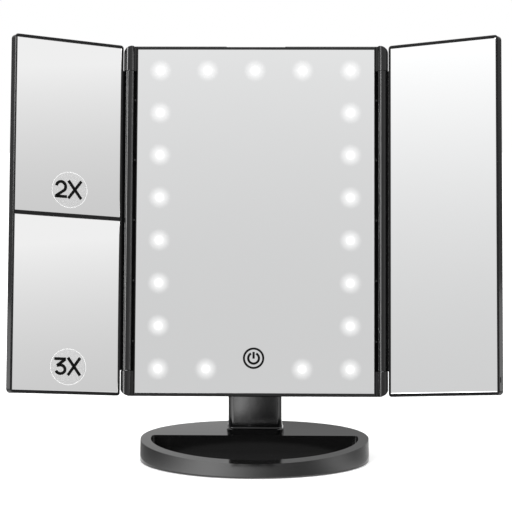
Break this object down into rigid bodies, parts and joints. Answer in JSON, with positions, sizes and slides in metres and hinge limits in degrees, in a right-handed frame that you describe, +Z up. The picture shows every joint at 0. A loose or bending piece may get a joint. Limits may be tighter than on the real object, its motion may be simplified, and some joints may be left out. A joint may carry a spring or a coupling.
{
  "type": "trifold vanity mirror",
  "caption": "Lit tabletop vanity mirror: a framed centre glass on a tilting neck, two folding side mirrors, one split into magnifiers, and an oval base with a tray.",
  "frame": {"origin": "middle of the oval base on the plane of the rubber feet", "axes": "+X to the right as the user sees it, +Y away from the user, +Z up"},
  "size_m": [0.3345, 0.122, 0.2963],
  "materials": {
    "black_gloss": "polished black moulding",
    "black_rubber": "matt",
    "zinc_steel": "zinc plated",
    "mirror_glass": "silvered float glass",
    "diffuser_white": "milky sheet",
    "board_green": "solder-masked laminate",
    "led_phosphor": "lit chip",
    "pad_copper": "bare pad",
    "foam_white": "foam tape",
    "cell_wrap": "printed sleeve"
  },
  "bodies": {
    "stand": {"base_shell": "black_gloss", "base_plate": "black_gloss", "ballast_plate": "zinc_steel", "rubber_feet": "black_rubber", "base_screws": "zinc_steel", "neck": "black_gloss", "neck_cover": "black_gloss", "neck_screws": "zinc_steel", "foot_bolts": "zinc_steel", "tilt_shaft": "zinc_steel", "tilt_nut": "zinc_steel", "friction_washers": "zinc_steel"},
    "panel": {"front_frame": "black_gloss", "rear_cover": "black_gloss", "centre_mirror": "mirror_glass", "light_diffuser": "diffuser_white", "led_boards": "board_green", "led_chips": "led_phosphor", "touch_pad": "pad_copper", "control_board": "board_green", "battery_cells": "cell_wrap", "contact_springs": "zinc_steel", "contact_plates": "zinc_steel", "charge_socket": "zinc_steel", "power_switch": "zinc_steel", "cover_screws": "zinc_steel", "hinge_pins": "zinc_steel"},
    "left_wing": {"left_wing_frame": "black_gloss", "mirror_2x": "mirror_glass", "mirror_3x": "mirror_glass", "left_glue_pads": "foam_white"},
    "right_wing": {"right_wing_frame": "black_gloss", "right_mirror": "mirror_glass", "right_glue_pads": "foam_white"},
    "door": {"battery_door": "black_gloss"},
    "knob": {"switch_knob": "black_gloss"}
  },
  "joints": [
    {"name": "panel_tilt", "type": "hinge", "parent": "stand", "child": "panel", "pos_m": [0, 0.0183, 0.0688], "axis": [-1, 0, 0], "range_deg": [-13, 76]},
    {"name": "left_wing_fold", "type": "hinge", "parent": "panel", "child": "left_wing", "pos_m": [-0.08845, -0.013, 0.04736], "axis": [0, 0.2277, 0.9737], "range_deg": [-32.6, 147.4]},
    {"name": "right_wing_fold", "type": "hinge", "parent": "panel", "child": "right_wing", "pos_m": [0.08845, -0.013, 0.04736], "axis": [0, -0.2277, -0.9737], "range_deg": [-29.3, 150.7]},
    {"name": "door_lift", "type": "slide", "parent": "panel", "child": "door", "axis": [0, 0.9737, -0.2277], "range_m": [0, 0.02]},
    {"name": "switch_slide", "type": "slide", "parent": "panel", "child": "knob", "axis": [0, 0.2277, 0.9737], "range_m": [0, 0.003]}
  ]
}
